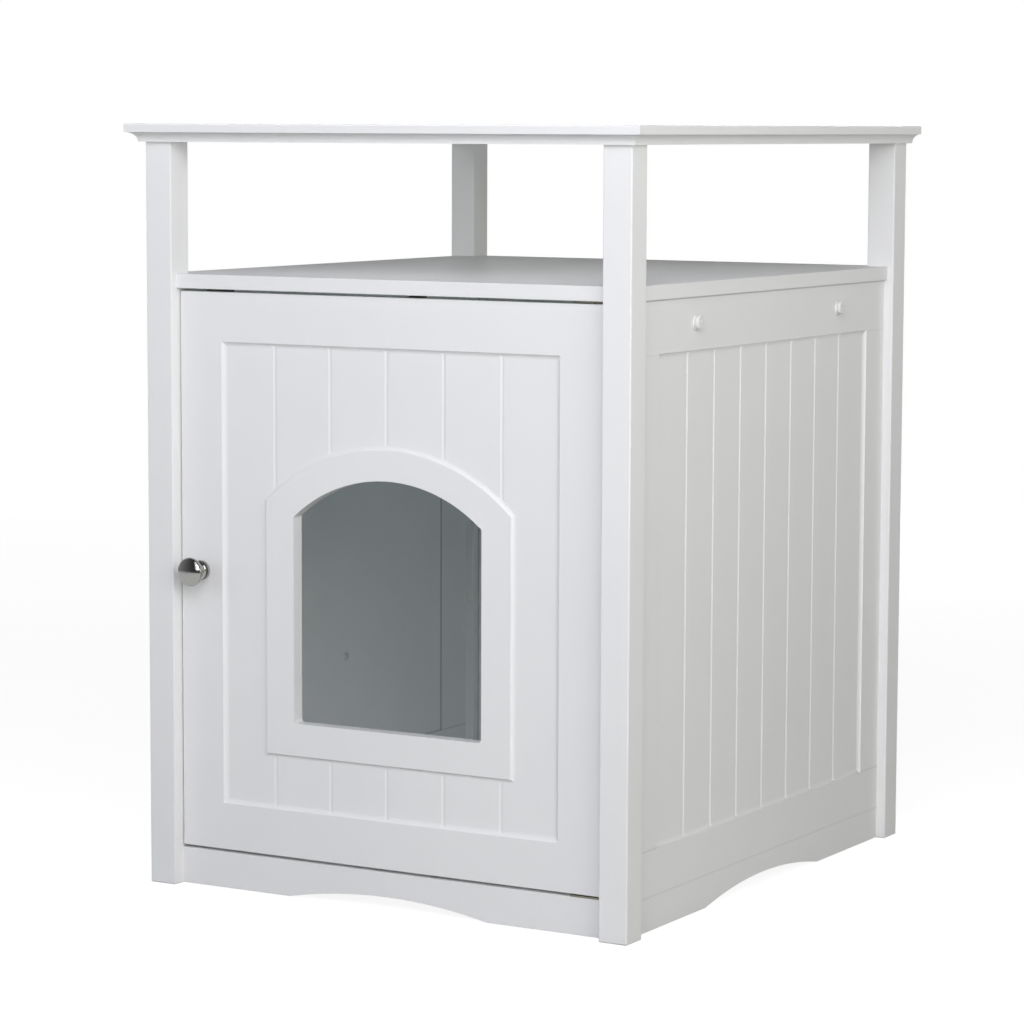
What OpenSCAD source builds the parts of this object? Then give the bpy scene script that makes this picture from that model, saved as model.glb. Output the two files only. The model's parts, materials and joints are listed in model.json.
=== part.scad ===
/* [Case] */
// Width over the posts
case_w = 459; // [440:1:520]
// Depth over the posts
case_d = 515; // [480:1:580]
// Height from the floor to the top surface
case_h = 640; // [600:1:720]

/* [Top board] */
// Thickness of the top board
top_th = 15; // [13:0.5:22]
// Overhang past the posts on each side
top_side_over = 13; // [11:0.5:30]
// Overhang past the front posts, enough to shelter the knob
top_front_over = 12.5; // [11:0.5:30]
// Overhang past the rear posts, kept small so that the case stands close to a wall
top_back_over = 2; // [0:0.5:20]
// Radius of the cove under the fascia
top_cove_r = 8; // [4:0.5:9]
// Flat quirk between the fascia and the cove
top_quirk = 0.5; // [0.2:0.1:1]
// Rounding of the fascia's arrises
top_arris = 1; // [0.5:0.25:1.5]

/* [Posts] */
// Width of a post, across the case
post_w = 25.5; // [22:0.5:34]
// Depth of a post, front to back
post_d = 25; // [22:0.5:34]
// Rounding of the upright arrises
post_arris = 1.2; // [0.5:0.1:2]
// Chamfer round the foot
foot_chamfer = 1; // [0.5:0.25:2]

/* [Shelf and open bay] */
// Clear height of the open bay under the top
bay_h = 109; // [80:1:140]
// Thickness of the shelf
shelf_th = 12; // [10:0.5:16]
// Set-back of the shelf's front and back edges from the post faces
shelf_end_set = 7; // [4:0.5:12]
// Set-back of the shelf's side edges from the post faces
shelf_side_set = 5.3; // [3:0.1:8]
// Rounding of the shelf's arrises
shelf_arris = 0.8; // [0.4:0.1:1.5]

/* [Side frames] */
// Set-back of the frame's outer face from the post faces
side_set = 8.2; // [6:0.1:11]
// Thickness of rails, stiles and beadboard
side_th = 9; // [8:0.5:11]
// Height of the side apron under the frame
side_apron_h = 28; // [24:1:40]
// Face height of the bottom rail
bottom_rail_face = 37.3; // [30:0.1:60]
// Face height of the top rail
top_rail_face = 42.8; // [36:0.1:60]
// Face width of a stile
stile_face = 37; // [30:1:60]
// How far a rail runs on under the cove
rail_lap = 0.6; // [0.4:0.1:2]
// How far a stile runs on into the beadboard
stile_lap = 8.5; // [5:0.5:12]
// Width of one side plank, groove to groove
side_plank_w = 47.5; // [30:0.5:70]

/* [Beadboard] */
// Depth of the routed field below the face
field_depth = 2.5; // [1.5:0.1:3.5]
// Width of the cove round a field
field_cove_w = 4.5; // [3:0.1:7]
// Width of a V groove in the sides
side_groove_w = 2.8; // [1.5:0.1:4]
// Depth of a side's V groove below the field
side_groove_depth = 1; // [0.4:0.1:1.6]
// Width of a V groove in the door
door_groove_w = 3.8; // [1.5:0.1:5]
// Depth of the door's V groove below the field
door_groove_depth = 0.6; // [0.4:0.1:1.6]
// Offset of the door's grooves from the field's middle
door_groove_shift = -1.2; // [-10:0.1:10]

/* [Aprons] */
// Height of the front and rear aprons
apron_h = 31; // [26:1:45]
// Thickness of the front and rear aprons
apron_th = 12; // [10:0.5:16]
// Lift of the aprons' lower edges off the floor
apron_lift = 0.5; // [0.2:0.1:5]
// Width of the arch in the front and rear aprons
front_arch_w = 192; // [120:1:300]
// Rise of the arch in the front and rear aprons
front_arch_rise = 10; // [5:0.5:14]
// Width of the arch in the side aprons
side_arch_w = 214; // [120:1:300]
// Rise of the arch in the side aprons
side_arch_rise = 11; // [5:0.5:14]

/* [Back and floor] */
// Set-back of the back panel from the rear post faces
back_set = 4.5; // [2:0.5:8]
// Thickness of the back panel
back_th = 12; // [10:0.5:14]
// Thickness of the floor board
floor_th = 12; // [10:0.5:14]
// Height of the peg hole in the left wall
peg_hole_z = 158.9; // [100:0.1:400]
// Distance of the peg hole behind the case's middle
peg_hole_y = 21.1; // [-20:0.1:40]
// Diameter of the peg hole
peg_hole_d = 6.5; // [3:0.5:8]
// Depth of the peg hole
peg_hole_depth = 3.5; // [2:0.5:4]

/* [Door] */
// Set-back of the door's face from the front post faces
door_set = 11.2; // [9:0.1:11.8]
// Thickness of the door
door_th = 12; // [11:0.5:12.5]
// Gap above the door and below it
door_gap = 2.3; // [2.2:0.1:5]
// Gap at the door's free edge
free_gap = 1; // [1:0.1:4]
// Gap at the door's hinged edge, room for the corner to swing
hinge_gap = 2; // [2:0.1:4]
// Rounding of the door's arrises
door_arris = 0.8; // [0.4:0.1:1.5]
// Margin beside the routed field
door_side_margin = 41.3; // [34:0.1:60]
// Margin above the routed field
door_top_margin = 41; // [34:0.5:60]
// Margin below the routed field
door_bottom_margin = 39.5; // [34:0.5:60]
// Width of one door plank, groove to groove
door_plank_w = 54.2; // [35:0.1:80]

/* [Doorway] */
// Width of the doorway
doorway_w = 180; // [150:1:190]
// Height of the doorway at its crown
doorway_h = 206.2; // [180:0.1:225]
// Height of the sill above the door's lower edge
doorway_sill = 113.4; // [90:0.1:125]
// Radius of the arch, struck from the doorway's middle
arch_r = 136; // [115:1:200]
// Width of the raised band beside and below the doorway
band_w = 27; // [18:0.5:32]
// Width of the raised band over the doorway's crown
band_crown_w = 25; // [18:0.5:32]
// Radius of the band's outer arc
band_r = 168; // [140:1:200]
// Width of the cove outside the band
band_cove_w = 3.4; // [2.6:0.1:5]
// Radius in the doorway's corners
doorway_corner_r = 3; // [2:0.5:8]

/* [Knob] */
// Diameter of the knob's head
knob_d = 24.4; // [18:0.1:30]
// Projection of the knob from the door's face
knob_out = 22.5; // [18:0.5:23]
// Thickness of the knob's head
knob_head_t = 10.5; // [8:0.5:12]
// Diameter of the knob's base
knob_base_d = 16.5; // [12:0.5:18]
// Thickness of the knob's base
knob_base_t = 3; // [2:0.5:4]
// Rounding of the knob base's edge
knob_base_soft = 0.8; // [0.4:0.1:1]
// Diameter of the knob's neck
knob_neck_d = 9.5; // [8:0.5:11]
// Distance of the knob's axis from the door's free edge
knob_inset = 20.6; // [14:0.1:26]
// Height of the knob above the door's middle
knob_rise = 1.2; // [-60:0.2:60]
// Diameter of the knob's screw
knob_screw_d = 4; // [3:0.5:5]
// Bite of the knob's screw in the knob
knob_screw_bite = 10; // [8:0.5:12]
// Thickness of the knob screw's head
knob_screw_head_t = 2.4; // [2:0.1:3]

/* [Pivots] */
// Diameter of a pivot pin
pivot_d = 5; // [4:0.5:6]
// Distance of the pivot axis from the door's hinged edge
pivot_inset = 10; // [8:0.5:10]
// Depth of a pivot pin in the door
pivot_in_door = 14; // [10:1:20]
// Diameter of the pin's collar
collar_d = 9; // [8:0.5:10]
// Length of a hinge plate, across the case
plate_l = 32.5; // [31:0.5:40]
// Distance of a hinge plate's first screw from its end
plate_screw_in = 5; // [4:0.5:5.5]
// Distance between a hinge plate's screws
plate_screw_step = 8; // [6.5:0.5:8]
// Width of a hinge plate, front to back
plate_w = 11; // [10:0.5:11.5]
// Thickness of a hinge plate
plate_t = 1.4; // [1:0.1:1.6]
// Rounding of a hinge plate's corners
plate_corner_r = 2.5; // [1:0.5:4]
// Gap from a hinge plate's end to the post
plate_end_gap = 0.5; // [0.2:0.1:1]
// Gap from a pin's collar to its hinge plate
collar_gap = 0.3; // [0.2:0.1:0.6]
// Room round a pivot pin in the wood, on the radius
pivot_room = 0.5; // [0.3:0.1:0.8]
// Running clearance of the pins, on the radius
run_clear = 0.05; // [0.02:0.01:0.1]
// How far a pivot pin reaches past the door's gap
pivot_tip = 5; // [3:0.5:6]
// Bite of a hinge plate's screws
hinge_screw_l = 10; // [8:0.5:10]

/* [Catch and stop] */
// Width of the catch housing, across the case
catch_l = 18; // [16:0.5:26]
// Depth of the magnet's box, front to back
catch_box_w = 7; // [6:0.5:10]
// Depth of the screw flange behind the box
catch_flange_w = 7; // [6.5:0.5:10]
// Thickness of the screw flange
catch_flange_t = 3; // [2:0.5:4]
// Height of the magnet's box
catch_h = 12; // [10:0.5:16]
// Wall of the magnet's box
catch_wall = 2; // [1.5:0.1:2.5]
// Thickness of a pole plate
pole_t = 1.2; // [0.8:0.1:1.5]
// Play of the pole plates in the box, on each side
pole_play = 0.2; // [0.1:0.1:0.4]
// How far the pole plates stand out of the box
pole_out = 0.8; // [0.5:0.1:1.2]
// Distance of the catch's middle from the door's free edge
catch_inset = 27; // [22:0.5:40]
// Gap from the pole plates to the strike plate
catch_gap = 0.3; // [0.2:0.1:0.6]
// Bite of the catch's and the stop's screws in the shelf
catch_screw_bite = 8; // [6:0.5:9]
// Width of the strike plate
strike_w = 18; // [14:0.5:24]
// Height of the strike plate
strike_h = 11; // [9:0.5:12]
// Thickness of the strike plate
strike_t = 1; // [0.8:0.1:1.2]
// Rounding of the strike plate's corners
strike_corner_r = 2; // [1:0.5:3]
// Bite of the strike plate's screw in the door
strike_bite = 7; // [5:0.5:9]
// Width of the door stop
stop_l = 12; // [10:0.5:20]
// Depth of the door stop
stop_w = 10; // [8:0.5:16]
// Height of the door stop
stop_h = 9; // [7:0.5:12]
// Distance of the door stop from the case's middle
stop_x = 19; // [-60:1:60]
// Gap from the door to its stop
stop_gap = 0.3; // [0.2:0.1:0.6]
// Thickness of the door stop over its screw's head
stop_web = 4; // [3:0.5:5]
// Rounding of the catch's and the stop's corners
catch_corner_r = 1.5; // [0.5:0.5:2.5]

/* [Hook pegs] */
// Distance of a hook peg from the case's middle
peg_y = 133.5; // [100:0.5:150]
// Height of the hook pegs below the shelf's underside
peg_drop = 21; // [18:0.5:26]
// Diameter of a hook peg's base
peg_base_d = 12.5; // [12:0.5:18]
// Diameter of a hook peg's head
peg_head_d = 11.5; // [10:0.5:14]
// Diameter of a hook peg's neck
peg_neck_d = 9.5; // [6:0.5:9.5]
// Projection of a hook peg
peg_out = 5.5; // [5.5:0.5:12]
// Thickness of a hook peg's base
peg_base_t = 1.6; // [1:0.1:2]
// Thickness of a hook peg's head
peg_head_t = 3; // [2:0.1:3]
// How much higher the head stands than the base
peg_rise = 0.8; // [0:0.1:1.2]
// Solid end of a hook peg, past its screw's hole
peg_solid_end = 1.5; // [1:0.1:2]
// Room beyond the screw's end in a hook peg
peg_screw_room = 0.5; // [0.3:0.1:0.8]

/* [Fastenings] */
// Diameter of the dowels in the posts' heads
post_dowel_d = 8; // [6:0.5:10]
// Depth of those dowels in the top board
dowel_in_top = 9; // [7:0.5:10]
// Diameter of the dowels in the side frames and the shelf
thin_dowel_d = 5; // [4:0.5:6]
// Diameter of the dowels in the aprons and the floor
apron_dowel_d = 6; // [5:0.5:7]
// Height of the dowels in the aprons' ends
apron_dowel_z = 12; // [10:0.5:13]
// Depth of a dowel in end grain
dowel_long = 15; // [12:1:18]
// Depth of a dowel in the face or edge of a board
dowel_short = 7; // [5:0.5:8]
// Room beyond a dowel's end
dowel_room = 1; // [0.5:0.1:1.5]
// Clearance round dowels, screws and fixed pins, on the radius
fit_clear = 0.05; // [0.02:0.01:0.1]
// Diameter of a cam lock in the back panel
cam_d = 12; // [11:0.5:15]
// Depth of a cam lock
cam_depth = 9; // [7:0.5:9.5]
// Distance of a cam lock from the back panel's edge
cam_inset = 24; // [20:1:34]
// Diameter of a cam bolt
cam_bolt_d = 5; // [4:0.5:6]
// Room round a cam bolt in the back panel, on the radius
cam_bolt_room = 0.55; // [0.3:0.05:0.7]
// Width of the driver's slots in a cam lock
cam_slot_w = 1.2; // [0.8:0.1:1.6]
// Depth of the driver's slots in a cam lock
cam_slot_depth = 1.5; // [1:0.1:2]
// Diameter of the small screws
screw_d = 3; // [2.5:0.5:3.5]
// Head diameter of the small screws
screw_head_d = 5.6; // [5:0.1:6]
// Head thickness of the small screws
screw_head_t = 1.8; // [1.4:0.1:2.2]
// Straight part under a countersunk head's hole
sink_land = 0.2; // [0.1:0.05:0.3]

/* [Hidden] */
$fn = 64;
paint = "#eceeed";
steel = "#b9bcc0";
brass = "#a08c52";
beech = "#d8b98a";
air = 1;
big = 2 * (case_w + case_d + case_h);

case_y = (top_front_over - top_back_over) / 2;
top_under = case_h - top_th;
shelf_top = top_under - bay_h;
shelf_under = shelf_top - shelf_th;
post_in_x = case_w / 2 - post_w;
post_in_y = case_d / 2 - post_d;

side_face = case_w / 2 - side_set;
side_inner = side_face - side_th;
side_field_w = 2 * (post_in_y - stile_face);
side_field_lo = side_apron_h + bottom_rail_face;
side_field_hi = shelf_under - top_rail_face;
infill_half = side_field_w / 2 - stile_lap;
infill_lo = side_field_lo + rail_lap;
infill_hi = side_field_hi - rail_lap;
side_mid = side_face - side_th / 2;

back_face = case_d / 2 - back_set - back_th;
apron_front = -case_d / 2 + door_set;
apron_back = apron_front + apron_th;
rear_apron_face = case_d / 2 - back_set - apron_th;

door_face = -case_d / 2 + door_set;
door_back = door_face + door_th;
door_left = -post_in_x + free_gap;
door_right = post_in_x - hinge_gap;
door_w = door_right - door_left;
door_x = (door_left + door_right) / 2;
door_lo = apron_h + door_gap;
door_hi = shelf_under - door_gap;
door_field_w = door_w - 2 * door_side_margin;
door_field_lo = door_lo + door_bottom_margin;
door_field_hi = door_hi - door_top_margin;
sill_z = door_lo + doorway_sill;
crown_z = sill_z + doorway_h;
arch_z = crown_z - arch_r;

pivot_x = door_right - pivot_inset;
pivot_y = door_face + door_th / 2;
plate_run = plate_t + collar_gap;
knob_x = door_left + knob_inset;
knob_z = (door_lo + door_hi) / 2 + knob_rise;
catch_x = door_left + catch_inset;
catch_face = door_back + strike_t + catch_gap + pole_out;
pole_w = catch_l - 2 * (catch_wall + pole_play);
pole_l = catch_box_w - catch_wall;
pole_z = shelf_under - catch_h + catch_wall;
pole_h = catch_h - 2 * catch_wall;
strike_z = pole_z + pole_h / 2;
stop_y = door_back + stop_gap + stop_w / 2;
plate_right = post_in_x - plate_end_gap;
plate_left = plate_right - plate_l;
peg_z = shelf_under - peg_drop;

// Places a piece drawn about the middle of the four posts
module placed() {
    translate([0, case_y, 0]) children();
}

// Copies a piece to four corners
module corners(x, y) {
    for (sx = [-1, 1], sy = [-1, 1]) translate([sx * x, sy * y, 0]) children();
}

// Rectangle with rounded corners, centred
module soft_rect(w, d, r) {
    square([w - 2 * r, d], center = true);
    square([w, d - 2 * r], center = true);
    for (sx = [-1, 1], sy = [-1, 1]) {
        translate([sx * (w / 2 - r), sy * (d / 2 - r)]) circle(r);
    }
}

// Stands a section drawn in (height, depth) up and runs it across the case
module run_across(length) {
    rotate([0, -90, 0]) linear_extrude(length, center = true) children();
}

// Board section with its face at y = 0, rounded at the two face arrises
module faced_section(w, t, r) {
    translate([-w / 2, r]) square([w, t - r]);
    translate([r - w / 2, 0]) square([w - 2 * r, t]);
    for (side = [-1, 1]) translate([side * (w / 2 - r), r]) circle(r);
}

// Board with its face at y = 0 and soft arrises round the face
module faced_board(w, h, t, r) {
    intersection() {
        linear_extrude(big, center = true) faced_section(w, t, r);
        run_across(big) faced_section(h, t, r);
    }
}

// Radius of a cove that starts at the face and lies level at its foot
function cove_r(cove, depth) = (cove * cove + depth * depth) / (2 * depth);

// Section of a shallow tray, open at the face, with a cove along both edges
module tray_section(w, depth, cove) {
    r = cove_r(cove, depth);
    intersection() {
        translate([-w / 2 - cove, -air]) square([w + 2 * cove, depth + air]);
        union() {
            translate([cove - w / 2, -air]) square([w - 2 * cove, depth + air]);
            for (side = [-1, 1]) translate([side * (w / 2 - cove), depth - r]) circle(r);
        }
    }
}

// Routed field with mitred coves, centred
module field_pocket(w, h, depth, cove) {
    intersection() {
        linear_extrude(big, center = true) tray_section(w, depth, cove);
        run_across(big) tray_section(h, depth, cove);
    }
}

// V grooves between the planks of a field, run out on the coves at both ends
module plank_grooves(w, h, pitch, groove_w, groove_depth) {
    floor_w = w - 2 * field_cove_w;
    steps = floor((floor_w / 2 - 2 * groove_w) / pitch);
    r = cove_r(field_cove_w, field_depth);
    run_out = sqrt(groove_depth * (2 * r - groove_depth));
    linear_extrude(h - 2 * (field_cove_w - run_out), center = true)
        for (k = [-steps:steps]) translate([k * pitch, field_depth]) {
            polygon([[-groove_w, -groove_depth], [groove_w, -groove_depth], [0, groove_depth]]);
        }
}

// Section of a raised part from x = start to its edge, with a cove at the foot of the edge
module raised_edge(start, edge, depth, cove) {
    r = cove_r(cove, depth);
    difference() {
        translate([start, -2 * air]) {
            square([edge + cove - start, depth + door_groove_depth + 3 * air]);
        }
        translate([edge + cove, depth - r]) circle(r);
    }
}

// Apron board with an arch cut in its lower edge, its face at y = 0
module arched_apron(w, h, t, arch_w, rise) {
    r = (arch_w * arch_w / 4 + rise * rise) / (2 * rise);
    difference() {
        translate([-w / 2, 0, apron_lift]) cube([w, t, h - apron_lift]);
        translate([0, -air, apron_lift + rise - r]) {
            rotate([-90, 0, 0]) cylinder(r = r, h = t + 2 * air, $fn = 180);
        }
    }
}

// Level board that fits round the posts
module notched_board(half_x, front_y, back_y, th) {
    difference() {
        translate([-half_x, front_y, 0]) cube([2 * half_x, back_y - front_y, th]);
        corners(post_in_x + big / 2, post_in_y + big / 2) cube([big, big, big], center = true);
    }
}

// Countersunk or pan screw along +Z, its head's outer face at z = 0
module screw(d, head_d, head_t, length) {
    cylinder(d = head_d, h = head_t);
    cylinder(d = d, h = length);
}

// Hole for a fixed pin or screw, from z = 0 up
module fixed_hole(d, length) {
    translate([0, 0, -air]) cylinder(d = d + 2 * fit_clear, h = length + air);
}

// Turns a piece drawn along +Z to run along +X, from its own origin
module along_x() {
    rotate([0, 90, 0]) children();
}

// Turns a piece drawn along +Z to run along +Y, from its own origin
module along_y() {
    rotate([-90, 0, 0]) children();
}

// Sets a piece drawn as (along the case, depth below the face, height) in the right side
module right_side() {
    translate([side_face, 0, 0]) rotate([0, 0, 90]) children();
}

// The same in the left side
module left_side() {
    mirror([1, 0, 0]) right_side() children();
}

// Places of the dowels that hold the side frames and side aprons in the posts
side_dowel_z = [side_apron_h + bottom_rail_face / 2, shelf_under - top_rail_face / 2];
shelf_dowel_y = (post_in_y + peg_y) / 2;
floor_dowel_x = post_in_x / 2;
floor_z = apron_h - floor_th;
cam_z = [door_lo + door_hi / 6, door_hi - door_hi / 6];

// Dowels along the case, from the inner face of the front and rear posts both ways
module side_dowel_bores(d, heights, extra) {
    for (z = heights, sy = [-1, 1]) translate([0, sy * post_in_y, z]) {
        rotate([sy * -90, 0, 0]) translate([0, 0, -dowel_long - extra]) {
            cylinder(d = d, h = 2 * (dowel_long + extra));
        }
    }
}

module all_side_dowels(grow, extra) {
    for (side = [-1, 1]) translate([side * side_mid, 0, 0]) {
        side_dowel_bores(thin_dowel_d + 2 * grow, side_dowel_z, extra);
    }
}

module side_apron_dowels(grow, extra) {
    for (side = [-1, 1]) translate([side * side_mid, 0, 0]) {
        side_dowel_bores(thin_dowel_d + 2 * grow, [apron_dowel_z], extra);
    }
}

module cross_apron_dowels(grow, extra) {
    for (sx = [-1, 1], y = [apron_front + apron_th / 2, rear_apron_face + apron_th / 2]) {
        translate([sx * post_in_x, y, apron_dowel_z]) {
            rotate([0, -sx * 90, 0]) translate([0, 0, -dowel_short - extra]) {
                cylinder(d = apron_dowel_d + 2 * grow, h = dowel_short + dowel_long + 2 * extra);
            }
        }
    }
}

module all_floor_dowels(grow, extra) {
    for (sx = [-1, 1]) translate([sx * floor_dowel_x, 0, floor_z + floor_th / 2]) {
        translate([0, apron_back - dowel_short - extra, 0]) along_y() {
            cylinder(d = apron_dowel_d + 2 * grow, h = dowel_short + dowel_long + 2 * extra);
        }
        translate([0, rear_apron_face - dowel_long - extra, 0]) along_y() {
            cylinder(d = apron_dowel_d + 2 * grow, h = dowel_short + dowel_long + 2 * extra);
        }
    }
}

module all_shelf_dowels(grow, extra) {
    corners(side_mid, shelf_dowel_y) translate([0, 0, shelf_under - dowel_long - extra]) {
        cylinder(d = thin_dowel_d + 2 * grow, h = dowel_long + dowel_short + 2 * extra);
    }
}

module all_top_dowels(grow, extra) {
    corners(case_w / 2 - post_w / 2, case_d / 2 - post_d / 2) {
        translate([0, 0, top_under - dowel_long - extra]) {
            cylinder(d = post_dowel_d + 2 * grow, h = dowel_long + dowel_in_top + 2 * extra);
        }
    }
}

// Axes of the cam bolts, from the post's inner face towards the middle
module at_cam_bolts() {
    for (sx = [-1, 1], z = cam_z) translate([sx * post_in_x, back_face + back_th / 2, z]) {
        rotate([0, -sx * 90, 0]) children();
    }
}

module cam_bolt(grow) {
    translate([0, 0, -dowel_long + 3]) {
        cylinder(d = cam_bolt_d + 2 * grow, h = dowel_long - 3 + cam_inset - 1.5);
    }
}

module at_cams() {
    for (sx = [-1, 1], z = cam_z) {
        translate([sx * (post_in_x - cam_inset), back_face + back_th, z]) {
            rotate([90, 0, 0]) children();
        }
    }
}

module top_board() {
    w = case_w + 2 * top_side_over;
    d = case_d + top_front_over + top_back_over;
    color(paint) difference() {
        intersection() {
            translate([0, 0, top_under]) rotate([90, 0, 0]) linear_extrude(big, center = true) {
                difference() {
                    translate([0, top_th]) mirror([0, 1]) faced_section(w, top_th, top_arris);
                    for (side = [-1, 1]) translate([side * (w / 2 - top_quirk), 0]) {
                        circle(top_cove_r);
                    }
                }
            }
            translate([0, 0, top_under]) rotate([90, 0, 90]) linear_extrude(big, center = true) {
                difference() {
                    translate([0, top_th]) mirror([0, 1]) faced_section(d, top_th, top_arris);
                    translate([-d / 2 + top_quirk, 0]) circle(top_cove_r);
                }
            }
        }
        placed() all_top_dowels(fit_clear, dowel_room);
    }
}

module shelf_board() {
    w = case_w - 2 * shelf_side_set;
    d = case_d - 2 * shelf_end_set;
    color(paint) placed() difference() {
        intersection() {
            translate([0, 0, shelf_under]) notched_board(w / 2, -d / 2, d / 2, shelf_th);
            translate([0, 0, shelf_under + shelf_th / 2]) intersection() {
                rotate([90, 0, 0]) linear_extrude(big, center = true) {
                    soft_rect(w, shelf_th, shelf_arris);
                }
                rotate([90, 0, 90]) linear_extrude(big, center = true) {
                    soft_rect(d, shelf_th, shelf_arris);
                }
            }
        }
        all_shelf_dowels(fit_clear, dowel_room);
        translate([pivot_x, pivot_y, shelf_under]) {
            fixed_hole(pivot_d + 2 * pivot_room, pivot_tip + dowel_room);
        }
        at_hinge_screws() translate([0, 0, shelf_under]) fixed_hole(screw_d, hinge_screw_l);
        at_catch_screws() translate([0, 0, shelf_under]) fixed_hole(screw_d, catch_screw_bite);
        translate([stop_x, stop_y, shelf_under]) fixed_hole(screw_d, catch_screw_bite);
    }
}

module floor_board() {
    color(paint) placed() difference() {
        translate([0, 0, floor_z]) {
            notched_board(side_inner, apron_back, rear_apron_face, floor_th);
        }
        all_floor_dowels(fit_clear, dowel_room);
    }
}

module back_panel() {
    color(paint) placed() difference() {
        translate([-post_in_x, back_face, apron_h]) {
            cube([2 * post_in_x, back_th, shelf_under - apron_h]);
        }
        at_cam_bolts() cam_bolt(cam_bolt_room);
        at_cams() fixed_hole(cam_d, cam_depth);
    }
}

module back_cam_locks() {
    color(steel) placed() difference() {
        at_cams() difference() {
            cylinder(d = cam_d, h = cam_depth);
            for (a = [0, 90]) rotate([0, 0, a]) translate([-cam_d / 4, -cam_slot_w / 2, -air]) {
                cube([cam_d / 2, cam_slot_w, air + cam_slot_depth]);
            }
        }
        at_cam_bolts() cylinder(d = cam_bolt_d + 1.4, h = cam_inset);
    }
}

module back_cam_bolts() {
    color(steel) placed() at_cam_bolts() cam_bolt(0);
}

// Post about its own axis, with soft arrises and a chamfered foot
module post_blank() {
    intersection() {
        linear_extrude(top_under) soft_rect(post_w, post_d, post_arris);
        rotate([90, 0, 0]) linear_extrude(big, center = true) chamfered_foot(post_w);
        rotate([90, 0, 90]) linear_extrude(big, center = true) chamfered_foot(post_d);
    }
}

module chamfered_foot(w) {
    c = foot_chamfer;
    polygon([[c - w / 2, 0], [w / 2 - c, 0], [w / 2, c], [w / 2, big], [-w / 2, big], [-w / 2, c]]);
}

module post(sx, sy) {
    color(paint) placed() difference() {
        translate([sx * (case_w - post_w) / 2, sy * (case_d - post_d) / 2, 0]) post_blank();
        all_top_dowels(fit_clear, dowel_room);
        all_side_dowels(fit_clear, dowel_room);
        side_apron_dowels(fit_clear, dowel_room);
        cross_apron_dowels(fit_clear, dowel_room);
        if (sy > 0) at_cam_bolts() translate([0, 0, -dowel_long + 2]) {
            cylinder(d = cam_bolt_d + 2 * fit_clear, h = dowel_long);
        }
    }
}

module front_left_post() {
    post(-1, -1);
}

module front_right_post() {
    post(1, -1);
}

module rear_left_post() {
    post(-1, 1);
}

module rear_right_post() {
    post(1, 1);
}

// The routed field and its grooves, as cut through the whole side frame
module side_field() {
    h = side_field_hi - side_field_lo;
    translate([0, 0, (side_field_lo + side_field_hi) / 2]) {
        field_pocket(side_field_w, h, field_depth, field_cove_w);
        plank_grooves(side_field_w, h, side_plank_w, side_groove_w, side_groove_depth);
    }
}

module side_board(x0, x1, z0, z1) {
    difference() {
        translate([x0, 0, z0]) cube([x1 - x0, side_th, z1 - z0]);
        side_field();
    }
}

module top_rail_blank() {
    side_board(-post_in_y, post_in_y, infill_hi, shelf_under);
}

module bottom_rail_blank() {
    side_board(-post_in_y, post_in_y, side_apron_h, infill_lo);
}

module front_stile_blank() {
    side_board(-post_in_y, -infill_half, infill_lo, infill_hi);
}

module rear_stile_blank() {
    side_board(infill_half, post_in_y, infill_lo, infill_hi);
}

module beadboard_blank() {
    side_board(-infill_half, infill_half, infill_lo, infill_hi);
}

module left_top_rail() {
    color(paint) placed() difference() {
        left_side() top_rail_blank();
        all_side_dowels(fit_clear, dowel_room);
        all_shelf_dowels(fit_clear, dowel_room);
    }
}

module left_bottom_rail() {
    color(paint) placed() difference() {
        left_side() bottom_rail_blank();
        all_side_dowels(fit_clear, dowel_room);
    }
}

module left_front_stile() {
    color(paint) placed() left_side() front_stile_blank();
}

module left_rear_stile() {
    color(paint) placed() left_side() rear_stile_blank();
}

module left_beadboard() {
    color(paint) placed() difference() {
        left_side() beadboard_blank();
        translate([-side_inner, peg_hole_y, peg_hole_z]) rotate([0, -90, 0]) {
            translate([0, 0, -air]) cylinder(d = peg_hole_d, h = peg_hole_depth + air);
        }
    }
}

module right_top_rail() {
    color(paint) placed() difference() {
        right_side() top_rail_blank();
        all_side_dowels(fit_clear, dowel_room);
        all_shelf_dowels(fit_clear, dowel_room);
        at_pegs() translate([0, 0, -side_th - air]) {
            cylinder(d = screw_d + 2 * fit_clear, h = side_th + 2 * air);
        }
    }
}

module right_bottom_rail() {
    color(paint) placed() difference() {
        right_side() bottom_rail_blank();
        all_side_dowels(fit_clear, dowel_room);
    }
}

module right_front_stile() {
    color(paint) placed() right_side() front_stile_blank();
}

module right_rear_stile() {
    color(paint) placed() right_side() rear_stile_blank();
}

module right_beadboard() {
    color(paint) placed() right_side() beadboard_blank();
}

module front_apron() {
    color(paint) placed() difference() {
        translate([0, apron_front, 0]) {
            arched_apron(2 * post_in_x, apron_h, apron_th, front_arch_w, front_arch_rise);
        }
        cross_apron_dowels(fit_clear, dowel_room);
        all_floor_dowels(fit_clear, dowel_room);
        translate([pivot_x, pivot_y, apron_h]) mirror([0, 0, 1]) {
            fixed_hole(pivot_d + 2 * pivot_room, pivot_tip + dowel_room);
        }
        at_hinge_screws() translate([0, 0, apron_h]) mirror([0, 0, 1]) {
            fixed_hole(screw_d, hinge_screw_l);
        }
    }
}

module rear_apron() {
    color(paint) placed() difference() {
        translate([0, rear_apron_face, 0]) {
            arched_apron(2 * post_in_x, apron_h, apron_th, front_arch_w, front_arch_rise);
        }
        cross_apron_dowels(fit_clear, dowel_room);
        all_floor_dowels(fit_clear, dowel_room);
    }
}

module side_apron_blank() {
    arched_apron(2 * post_in_y, side_apron_h, side_th, side_arch_w, side_arch_rise);
}

module left_apron() {
    color(paint) placed() difference() {
        left_side() side_apron_blank();
        side_apron_dowels(fit_clear, dowel_room);
    }
}

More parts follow.
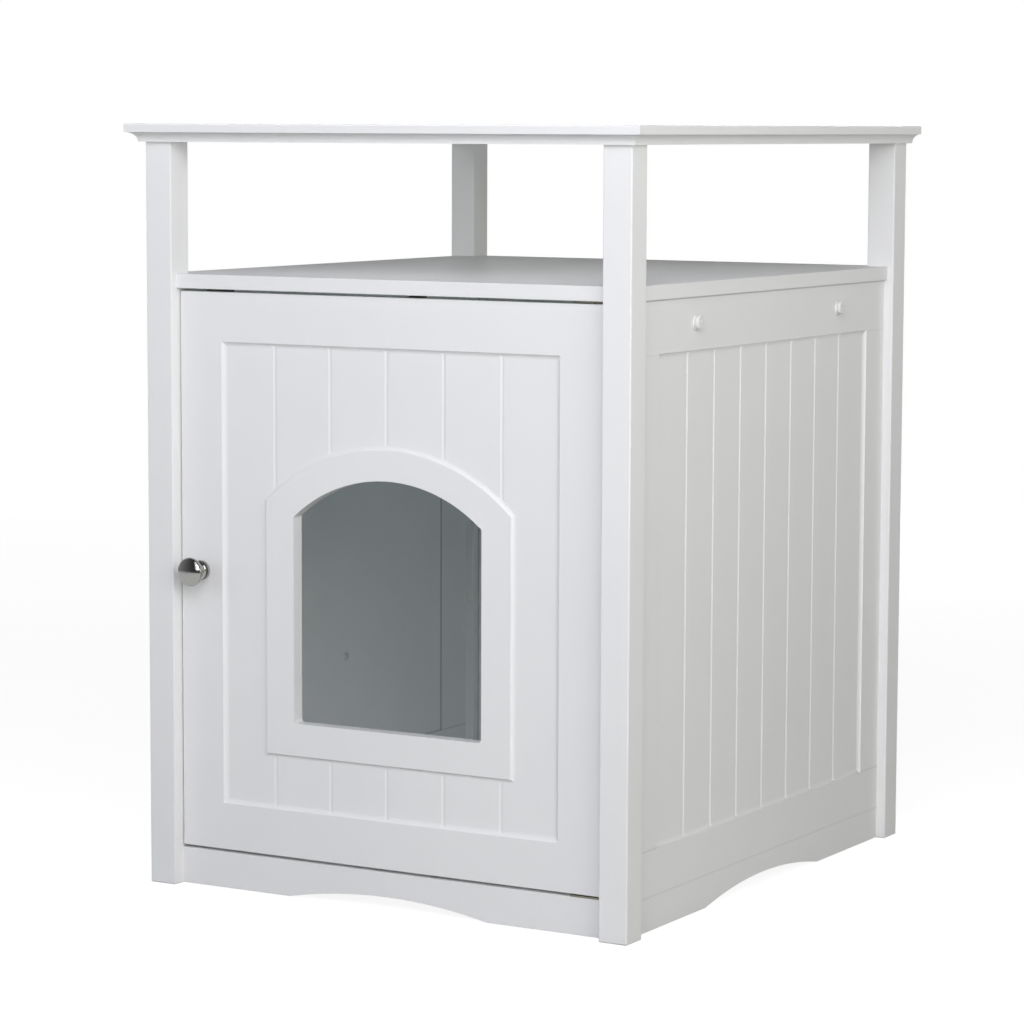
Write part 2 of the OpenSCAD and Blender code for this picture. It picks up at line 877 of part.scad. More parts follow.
module right_apron() {
    color(paint) placed() difference() {
        right_side() side_apron_blank();
        side_apron_dowels(fit_clear, dowel_room);
    }
}

// Axis of each hook peg, pointing out of the right side's face
module at_pegs(which = [-1, 1]) {
    for (sy = which) translate([side_face, sy * peg_y, peg_z]) along_x() children();
}

// Half section of a disc with a full round rim
module disc_section(d, t) {
    square([(d - t) / 2, t]);
    translate([(d - t) / 2, t / 2]) circle(t / 2);
}

// Hook peg: a thin base, a short neck, and a head that stands a little higher
module hook_peg() {
    difference() {
        union() {
            rotate_extrude() disc_section(peg_base_d, peg_base_t);
            translate([-peg_rise / 2, 0, 0]) {
                cylinder(d = peg_neck_d, h = peg_out - peg_head_t / 2);
            }
            translate([-peg_rise, 0, peg_out - peg_head_t]) {
                rotate_extrude() disc_section(peg_head_d, peg_head_t);
            }
        }
        fixed_hole(screw_d, peg_out - peg_solid_end);
    }
}

module front_hook_peg() {
    color("white") placed() at_pegs([-1]) hook_peg();
}

module rear_hook_peg() {
    color("white") placed() at_pegs([1]) hook_peg();
}

module hook_peg_screws() {
    color(steel) placed() at_pegs() translate([0, 0, -side_th - screw_head_t]) {
        screw(screw_d, screw_head_d, screw_head_t,
            screw_head_t + side_th + peg_out - peg_solid_end - peg_screw_room);
    }
}

module at_hinge_screws() {
    for (step = [0, plate_screw_step]) {
        translate([plate_left + plate_screw_in + step, pivot_y, 0]) children();
    }
}

// Hinge plate lying on z = 0, its running face up
module hinge_plate() {
    difference() {
        translate([plate_right - plate_l / 2, pivot_y, 0]) linear_extrude(plate_t) {
            soft_rect(plate_l, plate_w, plate_corner_r);
        }
        translate([pivot_x, pivot_y, -air]) {
            cylinder(r = pivot_d / 2 + run_clear, h = plate_t + 2 * air);
        }
        at_hinge_screws() {
            fixed_hole(screw_d, plate_t + air);
            translate([0, 0, plate_t]) mirror([0, 0, 1]) countersink(plate_t, fit_clear);
        }
    }
}

// Countersunk head for a plate of that thickness, its face at z = 0 and its shank along +Z
module countersink(plate, grow) {
    cylinder(r1 = screw_head_d / 2 + grow, r2 = screw_d / 2 + grow, h = plate - sink_land);
}

module hinge_screw() {
    countersink(plate_t, 0);
    cylinder(d = screw_d, h = plate_t + hinge_screw_l - dowel_room);
}

module top_hinge_plate() {
    color(brass) placed() translate([0, 0, shelf_under]) mirror([0, 0, 1]) hinge_plate();
}

module bottom_hinge_plate() {
    color(brass) placed() translate([0, 0, apron_h]) hinge_plate();
}

module hinge_plate_screws() {
    color(brass) placed() {
        translate([0, 0, shelf_under - plate_t]) at_hinge_screws() hinge_screw();
        translate([0, 0, apron_h + plate_t]) mirror([0, 0, 1]) at_hinge_screws() hinge_screw();
    }
}

// Pin along +Z: driven into the door below z = 0, running in the plate above it
module pivot_pin() {
    translate([0, 0, -pivot_in_door]) {
        cylinder(d = pivot_d, h = pivot_in_door + door_gap + pivot_tip);
    }
    cylinder(d = collar_d, h = door_gap - plate_run);
}

module top_pivot_pin() {
    color(steel) placed() translate([pivot_x, pivot_y, door_hi]) pivot_pin();
}

module bottom_pivot_pin() {
    color(steel) placed() translate([pivot_x, pivot_y, door_lo]) mirror([0, 0, 1]) pivot_pin();
}

// Places of the catch's screws, through the flange behind the magnet's box
module at_catch_screws() {
    for (side = [-1, 1]) {
        translate([catch_x + side * catch_l / 4, catch_face + catch_box_w + catch_flange_w / 2, 0]) {
            children();
        }
    }
}

// Catch under the shelf, behind the door's free edge
module catch_housing() {
    depth = catch_box_w + catch_flange_w;
    color("#4a423b") placed() difference() {
        translate([catch_x, catch_face + depth / 2, shelf_under - catch_h]) {
            linear_extrude(catch_h) soft_rect(catch_l, depth, catch_corner_r);
        }
        translate([catch_x, catch_face + catch_box_w, shelf_under - catch_h - air]) {
            translate([-catch_l, 0, 0]) {
                cube([2 * catch_l, 2 * catch_flange_w, catch_h - catch_flange_t + air]);
            }
        }
        translate([catch_x - catch_l / 2 + catch_wall, catch_face - air, pole_z]) {
            cube([catch_l - 2 * catch_wall, pole_l + air, pole_h]);
        }
        at_catch_screws() translate([0, 0, shelf_under - catch_h]) {
            cylinder(d = screw_d + 2 * fit_clear, h = catch_h + air);
        }
    }
}

module catch_pole_plates() {
    color(steel) placed() for (z = [pole_z, pole_z + pole_h - pole_t]) {
        translate([catch_x - pole_w / 2, catch_face - pole_out, z]) {
            cube([pole_w, pole_l + pole_out, pole_t]);
        }
    }
}

module catch_magnet() {
    color("#3a3a3c") placed() {
        translate([catch_x - pole_w / 2, catch_face, pole_z + pole_t]) {
            cube([pole_w, pole_l, pole_h - 2 * pole_t]);
        }
    }
}

// Screw up into the shelf, its head under a piece of that thickness
module shelf_screw(under) {
    translate([0, 0, shelf_under - under - screw_head_t]) {
        screw(screw_d, screw_head_d, screw_head_t,
            screw_head_t + under + catch_screw_bite - dowel_room);
    }
}

module catch_screws() {
    color(steel) placed() at_catch_screws() shelf_screw(catch_flange_t);
}

// Stop block under the shelf, with its screw's head sunk in it
module door_stop() {
    color("#4a423b") placed() translate([stop_x, stop_y, shelf_under - stop_h]) difference() {
        linear_extrude(stop_h) soft_rect(stop_l, stop_w, catch_corner_r);
        cylinder(d = screw_d + 2 * fit_clear, h = stop_h + air);
        fixed_hole(screw_head_d, stop_h - stop_web);
    }
}

module door_stop_screw() {
    color(steel) placed() translate([stop_x, stop_y, 0]) shelf_screw(stop_web);
}

module strike_plate() {
    color(steel) placed() translate([catch_x, door_back, strike_z]) along_y() difference() {
        linear_extrude(strike_t) soft_rect(strike_w, strike_h, strike_corner_r);
        fixed_hole(screw_d, strike_t + air);
        translate([0, 0, strike_t]) mirror([0, 0, 1]) countersink(strike_t, fit_clear);
    }
}

module strike_screw() {
    color(steel) placed() translate([catch_x, door_back + strike_t, strike_z]) {
        rotate([90, 0, 0]) {
            countersink(strike_t, 0);
            cylinder(d = screw_d, h = strike_t + strike_bite);
        }
    }
}

// Outline of the arched doorway, grown outwards by a band, in (across, up)
module doorway_outline(r) {
    half = doorway_w / 2;
    corner = doorway_corner_r;
    spring = arch_z + sqrt(pow(r - corner, 2) - pow(half - corner, 2));
    translate([-half, sill_z + corner]) square([2 * half, spring - sill_z - corner]);
    translate([corner - half, sill_z]) square([2 * (half - corner), spring - sill_z]);
    for (side = [-1, 1], z = [sill_z + corner, spring]) {
        translate([side * (half - corner), z]) circle(corner);
    }
    intersection() {
        translate([0, arch_z]) circle(r, $fn = 180);
        reach = 2 * r / (r - corner);
        polygon([[0, arch_z], [reach * (half - corner), arch_z + reach * (spring - arch_z)],
            [-reach * (half - corner), arch_z + reach * (spring - arch_z)]]);
    }
}

// What a piece and its mirror image, left for right, have in common
module mirrored_common() {
    intersection() {
        children();
        mirror([1, 0, 0]) children();
    }
}

// Raised band round the doorway, flush with the face and coved at its foot
module doorway_band() {
    half = doorway_w / 2 + band_w;
    cove = band_cove_w;
    intersection() {
        mirrored_common() linear_extrude(big, center = true) {
            raised_edge(-big, half, field_depth, cove);
        }
        translate([0, 0, crown_z + band_crown_w - band_r]) along_y() rotate_extrude($fn = 180) {
            raised_edge(0, band_r, field_depth, cove);
        }
        run_across(big) mirror([1, 0]) raised_edge(-big, band_w - sill_z, field_depth, cove);
    }
}

// All that the router takes off the door's face, with the face at y = 0
module door_field() {
    h = door_field_hi - door_field_lo;
    difference() {
        translate([0, 0, (door_field_lo + door_field_hi) / 2]) {
            field_pocket(door_field_w, h, field_depth, field_cove_w);
            translate([door_groove_shift, 0, 0]) {
                plank_grooves(door_field_w, h, door_plank_w, door_groove_w, door_groove_depth);
            }
        }
        doorway_band();
    }
}

module door_panel() {
    color(paint) placed() difference() {
        translate([door_x, door_face, 0]) difference() {
            translate([0, 0, (door_lo + door_hi) / 2]) {
                faced_board(door_w, door_hi - door_lo, door_th, door_arris);
            }
            door_field();
            translate([0, door_th / 2, 0]) rotate([90, 0, 0]) {
                linear_extrude(2 * door_th, center = true) doorway_outline(arch_r);
            }
        }
        for (z = [door_lo, door_hi]) {
            translate([pivot_x, pivot_y, z]) mirror([0, 0, z == door_hi ? 1 : 0]) {
                fixed_hole(pivot_d, pivot_in_door + dowel_room);
            }
        }
        translate([knob_x, door_face - air, knob_z]) along_y() {
            cylinder(d = knob_screw_d + 2 * fit_clear, h = door_th + 2 * air);
        }
        translate([catch_x, door_back, strike_z]) rotate([90, 0, 0]) {
            fixed_hole(screw_d, strike_bite + dowel_room);
        }
    }
}

// Half outline of the knob: base, waisted neck and flattened head
module knob_section() {
    head_mid = knob_out - knob_head_t / 2;
    soft = knob_base_soft;
    waist = (knob_base_d - knob_neck_d) / 2 - soft;
    square([knob_base_d / 2 - soft, knob_base_t]);
    translate([0, soft]) square([knob_base_d / 2, knob_base_t - soft]);
    translate([knob_base_d / 2 - soft, soft]) circle(soft);
    square([knob_neck_d / 2, head_mid]);
    difference() {
        translate([0, knob_base_t]) square([knob_neck_d / 2 + waist, waist]);
        translate([knob_neck_d / 2 + waist, knob_base_t + waist]) circle(waist);
    }
    intersection() {
        translate([0, head_mid]) polygon([for (a = [-90:7.5:90])
            [knob_d / 2 * cos(a), knob_head_t / 2 * sin(a)]]);
        square([knob_d, knob_out]);
    }
}

module door_knob() {
    color("#c8ccd0") placed() translate([knob_x, door_face, knob_z]) rotate([90, 0, 0]) {
        difference() {
            rotate_extrude() knob_section();
            fixed_hole(knob_screw_d, knob_screw_bite + dowel_room);
        }
    }
}

module knob_screw() {
    color(steel) placed() translate([knob_x, door_back + knob_screw_head_t, knob_z]) {
        rotate([90, 0, 0]) screw(knob_screw_d, 2 * knob_screw_d, knob_screw_head_t,
            knob_screw_head_t + door_th + knob_screw_bite);
    }
}

module top_dowels() {
    color(beech) placed() all_top_dowels(0, 0);
}

module shelf_dowels() {
    color(beech) placed() all_shelf_dowels(0, 0);
}

module floor_dowels() {
    color(beech) placed() all_floor_dowels(0, 0);
}

module apron_dowels() {
    color(beech) placed() {
        cross_apron_dowels(0, 0);
        side_apron_dowels(0, 0);
    }
}

module side_frame_dowels() {
    color(beech) placed() all_side_dowels(0, 0);
}

top_board();
shelf_board();
floor_board();
back_panel();
front_left_post();
front_right_post();
rear_left_post();
rear_right_post();
left_top_rail();
left_bottom_rail();
left_front_stile();
left_rear_stile();
left_beadboard();
right_top_rail();
right_bottom_rail();
right_front_stile();
right_rear_stile();
right_beadboard();
front_apron();
rear_apron();
left_apron();
right_apron();
front_hook_peg();
rear_hook_peg();
hook_peg_screws();
top_hinge_plate();
bottom_hinge_plate();
hinge_plate_screws();
catch_housing();
catch_pole_plates();
catch_magnet();
catch_screws();
door_stop();
door_stop_screw();
top_dowels();
shelf_dowels();
floor_dowels();
apron_dowels();
side_frame_dowels();
back_cam_locks();
back_cam_bolts();
door_panel();
door_knob();
knob_screw();
top_pivot_pin();
bottom_pivot_pin();
strike_plate();
strike_screw();
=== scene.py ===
import json
from math import cos, radians, sin

import bpy
from mathutils import Matrix, Vector

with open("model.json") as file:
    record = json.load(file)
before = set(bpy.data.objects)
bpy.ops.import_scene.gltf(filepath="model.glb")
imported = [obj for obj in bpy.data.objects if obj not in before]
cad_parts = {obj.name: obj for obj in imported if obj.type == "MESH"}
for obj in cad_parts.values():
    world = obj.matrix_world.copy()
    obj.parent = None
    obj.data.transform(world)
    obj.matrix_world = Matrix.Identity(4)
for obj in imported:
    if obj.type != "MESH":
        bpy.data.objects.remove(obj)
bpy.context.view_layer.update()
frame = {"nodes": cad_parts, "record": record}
nodes = frame["nodes"]

# Camera, solved on the photograph's corners: its place, the way it faces and its lens
CAMERA_PLACE = (1.5112, -2.6331, 0.6400)
CAMERA_YAW = 30.226
CAMERA_DOWN = 6.286
CAMERA_ROLL = 0.208
CAMERA_LENS = 123.56
SENSOR = 36.0

# The side boards' inner faces stand this far from the middle
INNER_FACE = 0.2126
INNER_FACE_DEPTH = 0.002
# The peg hole in the left one: y, z and how far its painted shade reaches
WALL_HOLE = (0.0262, 0.1589, 0.0052)
# Share of the paint's colour that is left in that painted shade
WALL_HOLE_SHADE = 0.7
# Share of the half width that is fully dark, in the dark joint lines, which are partly painted
# shade, and in the painted shade round the hole
JOINT_AND_SHADE_CORE = 0.4

# How strongly the table glows for the camera, and how strongly for shiny surfaces
FLOOR_GLOW = 0.89
SHEEN_GLOW = 0.78
TABLE_RADIUS = 3.4
TABLE_FADE = (0.9, 3.2)
# The card and the sheet lie just under the table, which stands at zero height
CARD_HEIGHT = -0.001
SHEEN_HEIGHT = -0.0005

# The dark room: its radius, and its spans around and above, in degrees from the front
ROOM_RADIUS = 6.0
ROOM_TURNS = (-120.0, 80.0)
ROOM_LIFTS = (-3.0, 88.0)

# The backdrop's strength away from the part behind the object; and the spans over which it
# fades, upwards and round to that part, as sine of the height and cosine of the turn
ROOM_WHITE = 0.664
WORLD_FADE_UP = (0.08, 0.35)
WORLD_FADE_ROUND = (0.766, 0.96)

AIM = (0.0, 0.0, 0.35)
WHITE = (1.0, 1.0, 1.0)


def set_camera():
    yaw, down, roll = (radians(a) for a in (CAMERA_YAW, CAMERA_DOWN, CAMERA_ROLL))
    forward = Vector((-sin(yaw) * cos(down), cos(yaw) * cos(down), -sin(down)))
    level = Vector((cos(yaw), sin(yaw), 0.0))
    above = level.cross(forward)
    right = level * cos(roll) + above * sin(roll)
    up = above * cos(roll) - level * sin(roll)
    data = bpy.data.cameras.new("camera")
    data.lens = CAMERA_LENS
    data.sensor_width = SENSOR
    data.clip_end = 50.0
    camera = bpy.data.objects.new("camera", data)
    camera.matrix_world = Matrix((
        (right.x, up.x, -forward.x, CAMERA_PLACE[0]),
        (right.y, up.y, -forward.y, CAMERA_PLACE[1]),
        (right.z, up.z, -forward.z, CAMERA_PLACE[2]),
        (0.0, 0.0, 0.0, 1.0),
    ))
    bpy.context.scene.collection.objects.link(camera)
    bpy.context.scene.camera = camera


class Nodes:
    """A node tree, with short calls to add and link its nodes."""

    def __init__(self, tree):
        self.tree = tree

    def add(self, kind, **settings):
        node = self.tree.nodes.new(kind)
        for name, value in settings.items():
            setattr(node, name, value)
        return node

    def link(self, source, target):
        self.tree.links.new(source, target)

    def parts(self, vector):
        """The X, Y and Z outputs of a vector."""
        node = self.add("ShaderNodeSeparateXYZ")
        self.link(vector, node.inputs["Vector"])
        return node.outputs

    def spread(self, value, low=0.0, high=1.0, start=0.0, end=1.0, smooth=False):
        """Maps start..end to low..high."""
        node = self.add("ShaderNodeMapRange",
                        interpolation_type="SMOOTHSTEP" if smooth else "LINEAR")
        for name, number in (("From Min", start), ("From Max", end),
                             ("To Min", low), ("To Max", high)):
            node.inputs[name].default_value = number
        self.link(value, node.inputs["Value"])
        return node


class Material(Nodes):
    """A material with one Principled shader, fed by procedural patterns."""

    def __init__(self, name):
        self.material = bpy.data.materials.new(name)
        self.material.use_nodes = True
        super().__init__(self.material.node_tree)
        self.shader = self.tree.nodes["Principled BSDF"]

    def feed(self, name, source):
        """Links a source to one of the shader's sockets."""
        self.link(source, self.shader.inputs[name])

    def fix(self, name, value):
        """Sets one of the shader's sockets."""
        self.shader.inputs[name].default_value = value

    def place(self):
        """The point's place in the shared frame, in metres."""
        coordinates = self.add("ShaderNodeTexCoord")
        mapping = self.add("ShaderNodeMapping")
        self.link(coordinates.outputs["Object"], mapping.inputs["Vector"])
        return mapping.outputs["Vector"]

    def noise(self, place, scale, detail=2.0, roughness=0.5):
        node = self.add("ShaderNodeTexNoise")
        node.inputs["Scale"].default_value = scale
        node.inputs["Detail"].default_value = detail
        node.inputs["Roughness"].default_value = roughness
        self.link(place, node.inputs["Vector"])
        return node.outputs["Fac"]

    def colours(self, value, *stops):
        """Colour along stops of (position, (r, g, b))."""
        node = self.add("ShaderNodeValToRGB")
        elements = node.color_ramp.elements
        for i, (position, colour) in enumerate(stops):
            element = elements[i] if i < 2 else elements.new(position)
            element.position = position
            element.color = (*colour, 1.0)
        self.link(value, node.inputs["Fac"])
        return node.outputs["Color"]

    def mottle(self, value, dark, light):
        """Base colour that wanders between two tones."""
        self.feed("Base Color", self.colours(value, (0.3, dark), (0.7, light)))

    def roughen(self, value, low, high):
        self.feed("Roughness", self.spread(value, low, high).outputs["Result"])

    def bump(self, height, distance, normal=None):
        node = self.add("ShaderNodeBump")
        node.inputs["Distance"].default_value = distance
        node.inputs["Strength"].default_value = 1.0
        self.link(height, node.inputs["Height"])
        if normal is not None:
            self.link(normal, node.inputs["Normal"])
        return node.outputs["Normal"]


def shaded(m, colour, away, reach, depth, inside, outside):
    """Colour darkened where away, a distance, is under reach: by one factor on the side boards'
    inner faces, and by another on their outer ones."""
    factor = m.spread(depth, inside, outside, INNER_FACE, INNER_FACE + INNER_FACE_DEPTH)
    fade = m.spread(away, start=reach * JOINT_AND_SHADE_CORE, end=reach, smooth=True)
    m.link(factor.outputs["Result"], fade.inputs["To Min"])
    scale = m.add("ShaderNodeVectorMath", operation="SCALE")
    m.link(colour, scale.inputs[0])
    m.link(fade.outputs["Result"], scale.inputs["Scale"])
    return scale.outputs["Vector"]


def white_paint(name="white_paint", joint_lines_and_shade=(), hole=None):
    """Satin paint, with dark lines where boards meet, partly joint lines and partly painted
    shade:
    (axis, place, half width, inside, outside). A hole is (y, z, radius) of painted shade round a
    hole in a side board's inner face, and needs at least one joint line."""
    m = Material(name)
    place = m.place()
    colour = m.colours(m.noise(place, 6.0, 3.0),
                       (0.3, (0.865, 0.87, 0.872)), (0.7, (0.885, 0.888, 0.888)))
    if joint_lines_and_shade:
        parts = m.parts(place)
        depth = m.add("ShaderNodeMath", operation="ABSOLUTE")
        m.link(parts["X"], depth.inputs[0])
        depth = depth.outputs["Value"]
    # Dark lines at joints, partly painted shade
    for axis, middle, reach, inside, outside in joint_lines_and_shade:
        off = m.add("ShaderNodeMath", operation="SUBTRACT")
        m.link(parts[axis], off.inputs[0])
        off.inputs[1].default_value = middle
        away = m.add("ShaderNodeMath", operation="ABSOLUTE")
        m.link(off.outputs["Value"], away.inputs[0])
        colour = shaded(m, colour, away.outputs["Value"], reach, depth, inside, outside)
    # Painted shade round the peg hole
    if hole:
        y, z, reach = hole
        flat = m.add("ShaderNodeCombineXYZ")
        m.link(parts["Y"], flat.inputs["Y"])
        m.link(parts["Z"], flat.inputs["Z"])
        away = m.add("ShaderNodeVectorMath", operation="DISTANCE")
        m.link(flat.outputs["Vector"], away.inputs[0])
        away.inputs[1].default_value = (0.0, y, z)
        colour = shaded(m, colour, away.outputs["Value"], reach, depth, WALL_HOLE_SHADE, 1.0)
    m.feed("Base Color", colour)
    m.roughen(m.noise(place, 40.0, 3.0), 0.36, 0.46)
    m.fix("Specular IOR Level", 0.4)
    peel = m.bump(m.noise(place, 420.0), 0.00006)
    m.feed("Normal", m.bump(m.noise(place, 30.0, 1.0), 0.00025, peel))
    return m.material


def plastic(name, grain, dark, light, shine_grain, rough):
    m = Material(name)
    place = m.place()
    m.mottle(m.noise(place, grain), dark, light)
    m.roughen(m.noise(place, shine_grain, 3.0), *rough)
    return m.material


def metal(name, dark, light, rough):
    m = Material(name)
    scratches = m.noise(m.place(), 900.0, 4.0, 0.6)
    m.mottle(scratches, dark, light)
    m.fix("Metallic", 1.0)
    m.roughen(scratches, *rough)
    m.feed("Normal", m.bump(scratches, 0.00002))
    return m.material


def ferrite():
    m = Material("ferrite")
    grain = m.noise(m.place(), 1500.0, 4.0)
    m.mottle(grain, (0.02, 0.02, 0.021), (0.05, 0.05, 0.052))
    m.roughen(grain, 0.5, 0.75)
    return m.material


def beech():
    m = Material("beech")
    grain = m.noise(m.place(), 250.0, 5.0, 0.7)
    m.mottle(grain, (0.50, 0.33, 0.18), (0.68, 0.49, 0.30))
    m.roughen(grain, 0.5, 0.7)
    m.feed("Normal", m.bump(grain, 0.0001))
    return m.material


def box_end(node, axis, side):
    """Lowest (side 0) or highest (side 1) value of a node's vertices along an axis."""
    values = [vertex.co["XYZ".index(axis)] for vertex in nodes[node].data.vertices]
    return (min(values), max(values))[side]


def joint_and_shade_paint(node, ends, hole=None):
    """Paint for one board, with dark lines at ends of its box, partly joint lines and partly
    painted shade: (axis, side, half width, inside, outside)."""
    joint_lines_and_shade = [(axis, box_end(node, axis, side), *rest) for axis, side, *rest in ends]
    return white_paint(node + "_paint", joint_lines_and_shade, hole)


def board_paints():
    """Paints with dark lines where the boards meet, which the solids do without a gap: partly
    joint lines and partly painted shade.
    """
    # The back panel's end lines are joint lines plus painted shade in the inner corners beside
    # the rear posts
    back = [("X", 0, 0.0018, 0.66, 0.66), ("X", 1, 0.0018, 0.66, 0.66)]
    stile = [("Z", 0, 0.0009, 0.75, 0.85), ("Z", 1, 0.0009, 0.75, 0.9)]
    panel = [("Y", 0, 0.003, 0.62, 1.0), ("Y", 1, 0.003, 0.62, 1.0), ("Z", 0, 0.002, 0.72, 1.0)]
    paints = {"back_panel": joint_and_shade_paint("back_panel", back)}
    for side in ("left", "right"):
        for name, ends in (
            ("front_stile", stile + [("Y", 1, 0.0014, 0.55, 1.0)]),
            ("rear_stile", stile + [("Y", 0, 0.0014, 0.55, 1.0)]),
            ("beadboard", panel),
            # The line along a top rail's top is painted shadow under the shelf's edge
            ("top_rail", [("Z", 1, 0.0016, 0.7, 0.7)]),
            ("bottom_rail", [("Z", 0, 0.0008, 0.8, 0.9), ("Z", 1, 0.0009, 0.85, 0.9)]),
            ("apron", [("Z", 1, 0.0008, 0.8, 0.9)]),
        ):
            node = side + "_" + name
            # The left beadboard also gets painted shade round its peg hole
            hole = WALL_HOLE if node == "left_beadboard" else None
            paints[node] = joint_and_shade_paint(node, ends, hole)
    return paints


def finish_nodes():
    """Gives each node the material of its slot, or one of its own."""
    by_slot = {
        "white_paint": white_paint(),
        "white_plastic": plastic("white_plastic", 60.0, (0.80, 0.80, 0.79), (0.84, 0.84, 0.83),
                                 300.0, (0.22, 0.32)),
        "zinc_steel": metal("zinc_steel", (0.48, 0.49, 0.51), (0.66, 0.67, 0.69), (0.25, 0.4)),
        "hinge_brass": metal("hinge_brass", (0.24, 0.23, 0.17), (0.38, 0.36, 0.27), (0.35, 0.5)),
        "knob_chrome": metal("knob_chrome", (0.40, 0.40, 0.385), (0.45, 0.45, 0.435),
                             (0.08, 0.15)),
        "catch_plastic": plastic("catch_plastic", 80.0, (0.075, 0.071, 0.067),
                                 (0.100, 0.095, 0.090), 500.0, (0.4, 0.55)),
        "magnet": ferrite(),
        "beech": beech(),
    }
    pole_steel = metal("pole_steel", (0.13, 0.13, 0.13), (0.21, 0.21, 0.21), (0.4, 0.6))
    pin_steel = metal("pin_steel", (0.26, 0.26, 0.25), (0.36, 0.36, 0.35), (0.4, 0.55))
    by_node = {
        "catch_pole_plates": pole_steel,
        "strike_plate": pole_steel,
        "top_pivot_pin": pin_steel,
        "bottom_pivot_pin": pin_steel,
        **board_paints(),
    }
    for part in frame["record"]["subparts"]:
        node = nodes[part["node"]]
        node.data.materials.clear()
        node.data.materials.append(by_node.get(part["node"]) or by_slot[part["material_slot"]])


def area_light(name, place, target, size, power, colour, mirrored=True, spread=180.0):
    """Soft box turned towards the target; its spread is the angle of its beam in degrees."""
    data = bpy.data.lights.new(name, "AREA")
    data.shape = "RECTANGLE"
    data.size, data.size_y = size
    data.energy = power
    data.color = colour
    data.spread = radians(spread)
    light = bpy.data.objects.new(name, data)
    light.location = place
    light.rotation_euler = (Vector(target) - Vector(place)).to_track_quat("-Z", "Y").to_euler()
    light.visible_camera = False
    light.visible_glossy = mirrored
    bpy.context.scene.collection.objects.link(light)


def hide(thing, *rays):
    """Hides a thing from some kinds of rays."""
    for ray in rays:
        setattr(thing, "visible_" + ray, False)


def disc(name, albedo, glow, height):
    """Round table top which thins out into the white backdrop."""
    bpy.ops.mesh.primitive_circle_add(vertices=96, radius=TABLE_RADIUS, fill_type="NGON",
                                      location=(0.0, 0.0, height))
    table = bpy.context.object
    table.name = name
    m = Material(name)
    place = m.place()
    m.mottle(m.noise(place, 3.0), (albedo - 0.01,) * 3, (albedo + 0.01,) * 3)
    m.fix("Roughness", 0.9)
    m.fix("Specular IOR Level", 0.0)
    m.fix("Emission Color", (*WHITE, 1.0))
    m.fix("Emission Strength", glow)
    away = m.add("ShaderNodeVectorMath", operation="LENGTH")
    m.link(place, away.inputs[0])
    m.feed("Alpha", m.spread(away.outputs["Value"], 1.0, 0.0, *TABLE_FADE,
                             smooth=True).outputs["Result"])
    table.data.materials.append(m.material)
    return table


def studio_floor():
    """A white table lit from below, the grey card that its light bounces off, and the paler sheet
    that shiny surfaces see."""
    hide(disc("studio_floor", 0.30, FLOOR_GLOW, 0.0), "diffuse", "glossy", "shadow")
    hide(disc("studio_card", 0.35, 0.0, CARD_HEIGHT), "camera", "glossy")
    hide(disc("studio_sheen", 0.02, SHEEN_GLOW, SHEEN_HEIGHT), "camera", "diffuse", "shadow")


def steps(span, count):
    """Angles in radians along a span in degrees."""
    start, end = span
    return [radians(start + (end - start) * i / count) for i in range(count + 1)]


def studio_room():
    """Dark room in front of the object, which only its shiny surfaces see: its walls glow, paler
    towards -X, as painted light for the reflections.
    """
    across, up = 24, 10
    points = [(ROOM_RADIUS * sin(turn) * cos(lift), -ROOM_RADIUS * cos(turn) * cos(lift),
               ROOM_RADIUS * sin(lift))
              for lift in steps(ROOM_LIFTS, up) for turn in steps(ROOM_TURNS, across)]
    row = across + 1
    faces = [(i * row + j, i * row + j + 1, (i + 1) * row + j + 1, (i + 1) * row + j)
             for i in range(up) for j in range(across)]
    mesh = bpy.data.meshes.new("studio_room")
    mesh.from_pydata(points, [], faces)
    m = Material("studio_room")
    place_x = m.parts(m.place())["X"]
    across_room = m.spread(place_x, start=-ROOM_RADIUS, end=0.0).outputs["Result"]
    # Painted light: the walls' glow, pale grey at -X fading to dark at the middle and beyond
    m.feed("Emission Color", m.colours(
        across_room, (0.0, (0.34, 0.34, 0.35)), (1.0, (0.05, 0.05, 0.05)),
        (0.4, (0.16, 0.16, 0.165)), (0.7, (0.07, 0.07, 0.072))))
    m.fix("Base Color", (0.0, 0.0, 0.0, 1.0))
    m.fix("Specular IOR Level", 0.0)
    m.fix("Emission Strength", 1.0)
    mesh.materials.append(m.material)
    room = bpy.data.objects.new("studio_room", mesh)
    bpy.context.scene.collection.objects.link(room)
    hide(room, "camera", "diffuse", "transmission", "shadow")


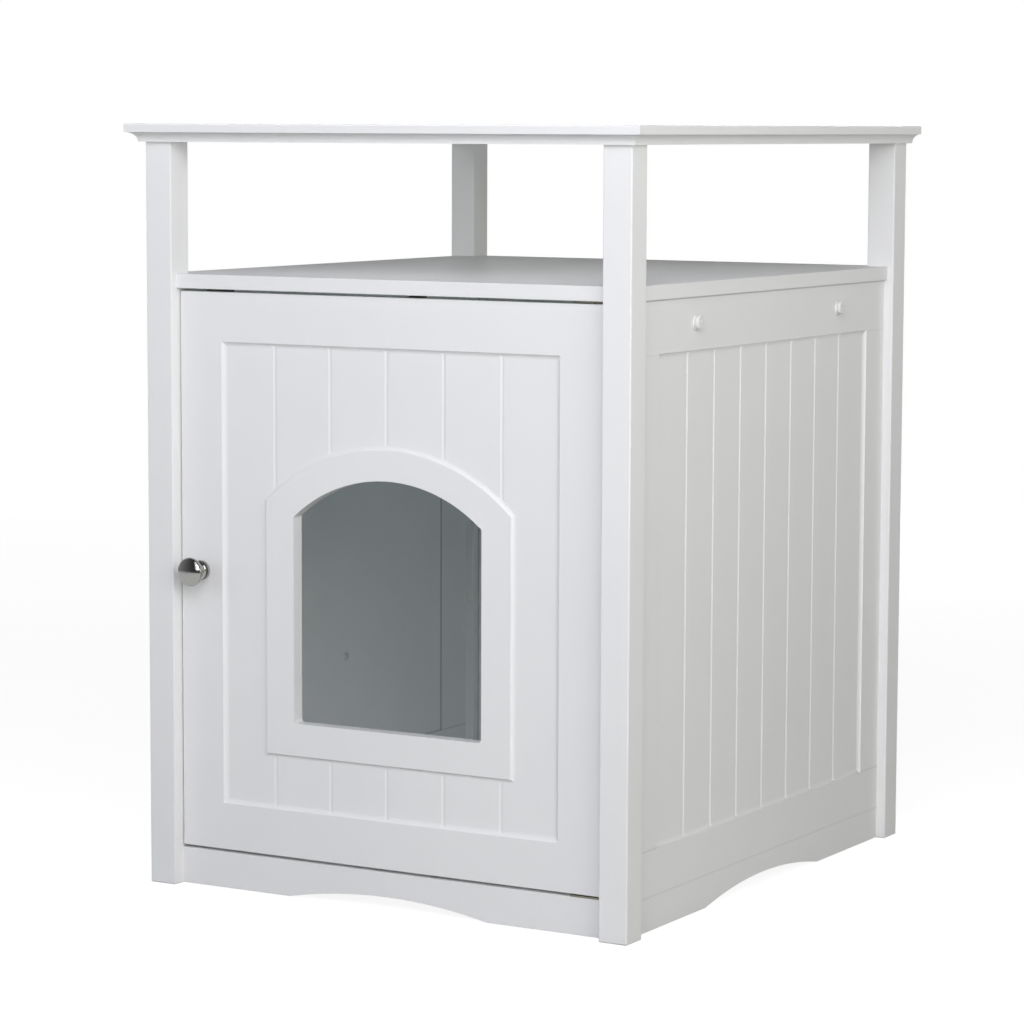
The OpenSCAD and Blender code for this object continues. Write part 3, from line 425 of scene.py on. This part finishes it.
def studio_world():
    """White backdrop behind the object, a little dimmer all round, dark overhead."""
    world = bpy.data.worlds.new("studio")
    world.use_nodes = True
    m = Nodes(world.node_tree)
    place = m.add("ShaderNodeTexCoord").outputs["Generated"]
    upwards = m.parts(place)["Z"]
    ahead = m.add("ShaderNodeVectorMath", operation="DOT_PRODUCT")
    ahead.inputs[1].default_value = (-sin(radians(CAMERA_YAW)), cos(radians(CAMERA_YAW)), 0.0)
    m.link(place, ahead.inputs[0])
    strength = m.add("ShaderNodeMath", operation="MULTIPLY")
    m.link(m.spread(upwards, 1.0, 0.0, *WORLD_FADE_UP, smooth=True).outputs["Result"],
           strength.inputs[0])
    m.link(m.spread(ahead.outputs["Value"], ROOM_WHITE, 1.0, *WORLD_FADE_ROUND,
                    smooth=True).outputs["Result"], strength.inputs[1])
    background = m.tree.nodes["Background"]
    m.link(strength.outputs["Value"], background.inputs["Strength"])
    background.inputs["Color"].default_value = (*WHITE, 1.0)
    bpy.context.scene.world = world
    bpy.context.scene.view_settings.view_transform = "Standard"


def studio_lights():
    """Lamps, their powers and colours fitted to the photograph's tones. Those that aren't
    mirrored would show in the knob."""
    area_light("key", (1.3, -3.6, 1.7), AIM, (2.0, 2.0), 18.2, (0.94, 0.961, 1.0))
    area_light("high", (1.0, -2.4, 2.6), AIM, (1.6, 1.6), 17.9, (0.902, 0.861, 1.0))
    area_light("near", (1.1, -1.7, 1.2), AIM, (1.2, 1.1), 12.4, (0.96, 0.961, 1.0))
    area_light("right", (2.4, -1.2, 0.8), AIM, (1.2, 1.0), 5.8, (1.0, 0.95, 0.66))
    area_light("right_near", (1.7, -0.9, 1.1), AIM, (0.9, 0.9), 7.0, (0.985, 1.0, 0.992), False)
    area_light("left", (-3.2, -0.6, 1.6), AIM, (2.0, 2.2), 10.0, WHITE, False)
    area_light("left_front", (-1.8, -2.6, 1.6), AIM, (1.6, 1.6), 14.4, (0.909, 0.961, 1.0), False)
    # For views from above and from behind
    area_light("overhead", (0.0, 0.0, 3.0), AIM, (0.53, 0.575), 0.5, WHITE, False, 3.0)
    area_light("behind", (-0.8, 2.9, 0.25), (0.0, 0.0, 0.25), (1.0, 0.5), 17.0, WHITE, False)
    # Stands for the light that white walls pass on to each other inside the cabinet
    area_light("inside", (0.19, 0.10, 0.38), (-1.0, 0.10, 0.38), (0.16, 0.16), 0.0963,
               (0.821, 1.0, 0.997), False)


set_camera()
finish_nodes()
studio_floor()
studio_room()
studio_world()
studio_lights()
